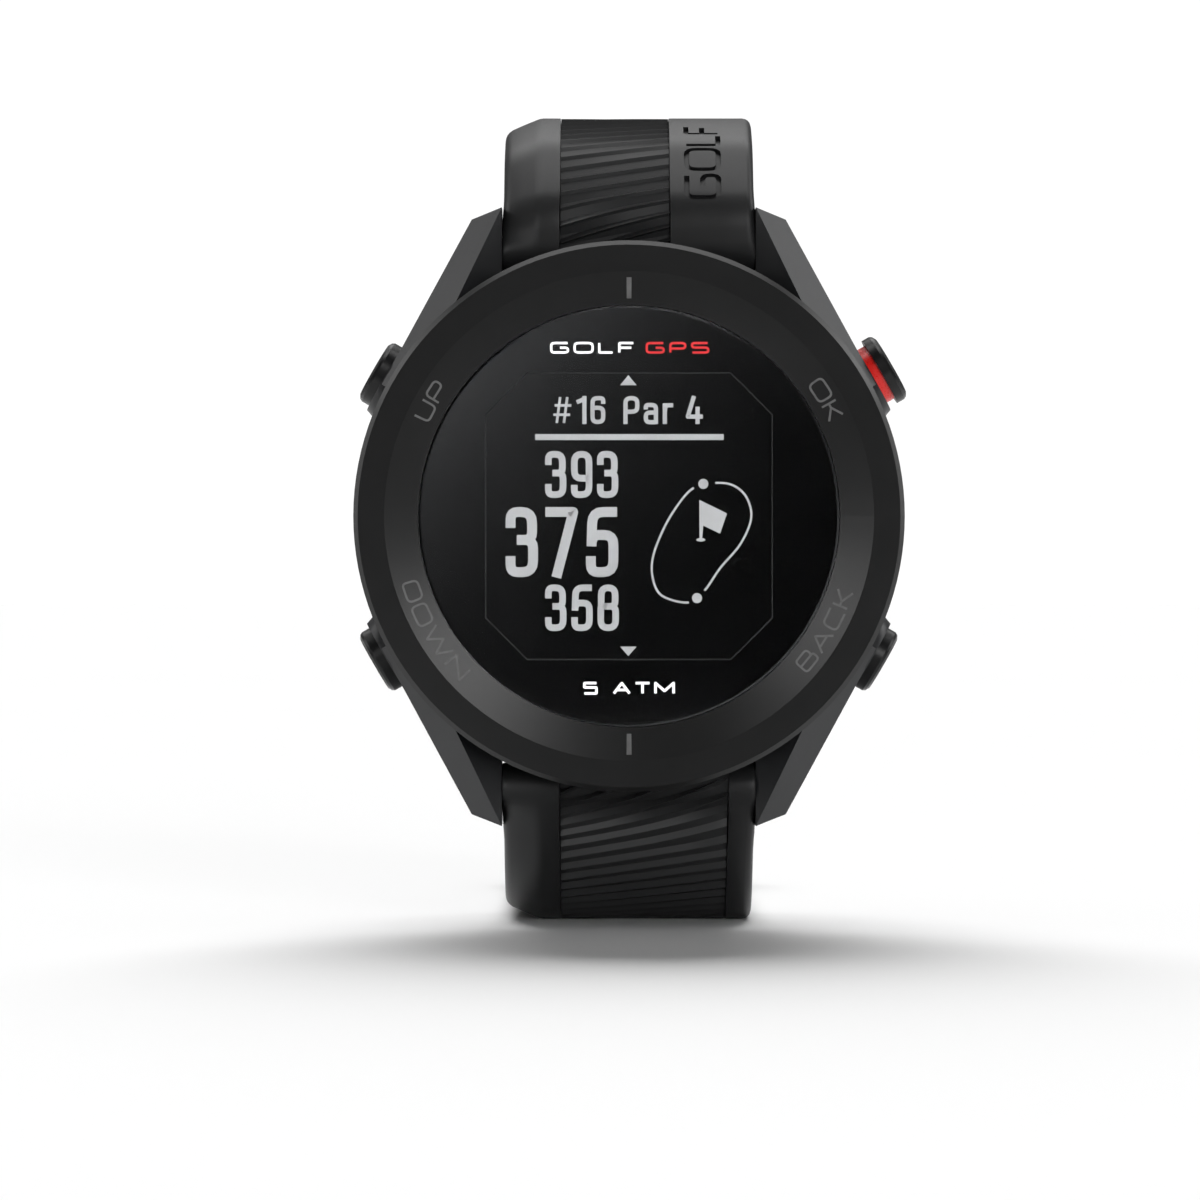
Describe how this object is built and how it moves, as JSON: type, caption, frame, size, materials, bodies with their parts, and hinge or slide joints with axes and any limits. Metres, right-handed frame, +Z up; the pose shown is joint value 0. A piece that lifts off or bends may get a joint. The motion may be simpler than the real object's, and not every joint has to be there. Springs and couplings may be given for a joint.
{
  "type": "golf gps watch",
  "caption": "Round golf GPS watch with side buttons, a flat display under glass and an open quick-release silicone strap with buckle and keepers.",
  "frame": {"origin": "centre of the bounding box in plan, at the flat underside of the long strap half that the open watch stands on", "axes": "+X to the wearer's right on the face (3 o'clock), -Y out of the face, +Z up towards 12 o'clock"},
  "size_m": [0.044, 0.1109, 0.0654],
  "materials": {
    "case_polymer": "fine matt grain",
    "bezel_polymer": "fine matt grain, engraved marks",
    "cover_glass": "clear cover glass",
    "black_film": "printed black",
    "display_glass": "reflective display",
    "light_guide": "milky light guide",
    "dark_polymer": "plain moulded",
    "circuit_board": "solder resist",
    "bright_metal": "stamped steel",
    "copper_flex": "polyimide film",
    "battery_foil": "foil pouch",
    "seal_rubber": "seal rubber",
    "gold_contact": "gold plated",
    "button_metal": "dark brushed steel",
    "red_accent": "red anodised ring",
    "silicone": "matt silicone",
    "buckle_metal": "dark brushed steel"
  },
  "bodies": {
    "case": {"housing": "case_polymer", "bezel": "bezel_polymer", "lens": "cover_glass", "lens_gasket": "seal_rubber", "display_mask": "black_film", "display_panel": "display_glass", "backlight": "light_guide", "mid_frame": "dark_polymer", "gps_antenna": "gold_contact", "main_board": "circuit_board", "shield_can": "bright_metal", "board_chips": "dark_polymer", "tact_switches": "dark_polymer", "display_flex": "copper_flex", "board_screws": "bright_metal", "battery": "battery_foil", "back_cover": "case_polymer", "back_gasket": "seal_rubber", "back_screws": "bright_metal", "contact_block": "dark_polymer", "charging_contacts": "gold_contact", "button_bushings": "bright_metal", "spring_up": "bright_metal", "spring_down": "bright_metal", "spring_ok": "bright_metal", "spring_back": "bright_metal"},
    "up_button": {"button_up": "button_metal", "seal_up": "seal_rubber", "clip_up": "bright_metal"},
    "down_button": {"button_down": "button_metal", "seal_down": "seal_rubber", "clip_down": "bright_metal"},
    "ok_button": {"button_ok": "button_metal", "seal_ok": "seal_rubber", "clip_ok": "bright_metal", "ok_ring": "red_accent"},
    "back_button": {"button_back": "button_metal", "seal_back": "seal_rubber", "clip_back": "bright_metal"},
    "strap_12": {"strap_upper": "silicone", "bar_tube_upper": "bright_metal", "bar_pin_upper": "bright_metal", "bar_spring_upper": "bright_metal", "keeper_fixed": "silicone"},
    "lever_12": {"bar_lever_upper": "bright_metal"},
    "strap_6": {"strap_lower": "silicone", "bar_tube_lower": "bright_metal", "bar_pin_lower": "bright_metal", "bar_spring_lower": "bright_metal"},
    "lever_6": {"bar_lever_lower": "bright_metal"},
    "buckle": {"buckle_frame": "buckle_metal", "buckle_pin": "buckle_metal"},
    "tongue": {"buckle_tongue": "buckle_metal"},
    "loop": {"keeper_sliding": "silicone"}
  },
  "joints": [
    {"name": "up_press", "type": "slide", "parent": "case", "child": "up_button", "axis": [0.866, 0, -0.5], "range_m": [0, 0.0008], "stiffness_N_per_m": 1200, "springref_m": -0.0006, "deforming": ["spring_up"]},
    {"name": "down_press", "type": "slide", "parent": "case", "child": "down_button", "axis": [0.866, 0, 0.5], "range_m": [0, 0.0008], "stiffness_N_per_m": 1200, "springref_m": -0.0006, "deforming": ["spring_down"]},
    {"name": "ok_press", "type": "slide", "parent": "case", "child": "ok_button", "axis": [-0.866, 0, -0.5], "range_m": [0, 0.0006], "stiffness_N_per_m": 1200, "springref_m": -0.0006, "deforming": ["spring_ok"]},
    {"name": "back_press", "type": "slide", "parent": "case", "child": "back_button", "axis": [-0.866, 0, 0.5], "range_m": [0, 0.0008], "stiffness_N_per_m": 1200, "springref_m": -0.0006, "deforming": ["spring_back"]},
    {"name": "upper_strap_hinge", "type": "hinge", "parent": "case", "child": "strap_12", "pos_m": [0, -0.04806, 0.0547], "axis": [1, 0, 0], "range_deg": [-10, 45]},
    {"name": "lower_strap_hinge", "type": "hinge", "parent": "case", "child": "strap_6", "pos_m": [0, -0.04806, 0.0107], "axis": [1, 0, 0], "range_deg": [-60, 6]},
    {"name": "upper_release_slide", "type": "slide", "parent": "strap_12", "child": "lever_12", "axis": [1, 0, 0], "range_m": [0, 0.0013], "stiffness_N_per_m": 400, "springref_m": -0.0015, "deforming": ["bar_spring_upper"]},
    {"name": "lower_release_slide", "type": "slide", "parent": "strap_6", "child": "lever_6", "axis": [1, 0, 0], "range_m": [0, 0.0013], "stiffness_N_per_m": 400, "springref_m": -0.0015, "deforming": ["bar_spring_lower"]},
    {"name": "buckle_hinge", "type": "hinge", "parent": "strap_12", "child": "buckle", "pos_m": [0, -0.00869, 0.02872], "axis": [1, 0, 0], "range_deg": [-35, 60]},
    {"name": "tongue_hinge", "type": "hinge", "parent": "buckle", "child": "tongue", "pos_m": [0, -0.00869, 0.02872], "axis": [1, 0, 0], "range_deg": [0, 45]},
    {"name": "loop_slide", "type": "slide", "parent": "strap_12", "child": "loop", "axis": [0, 0, 1], "range_m": [-0.0015, 0.003]}
  ]
}
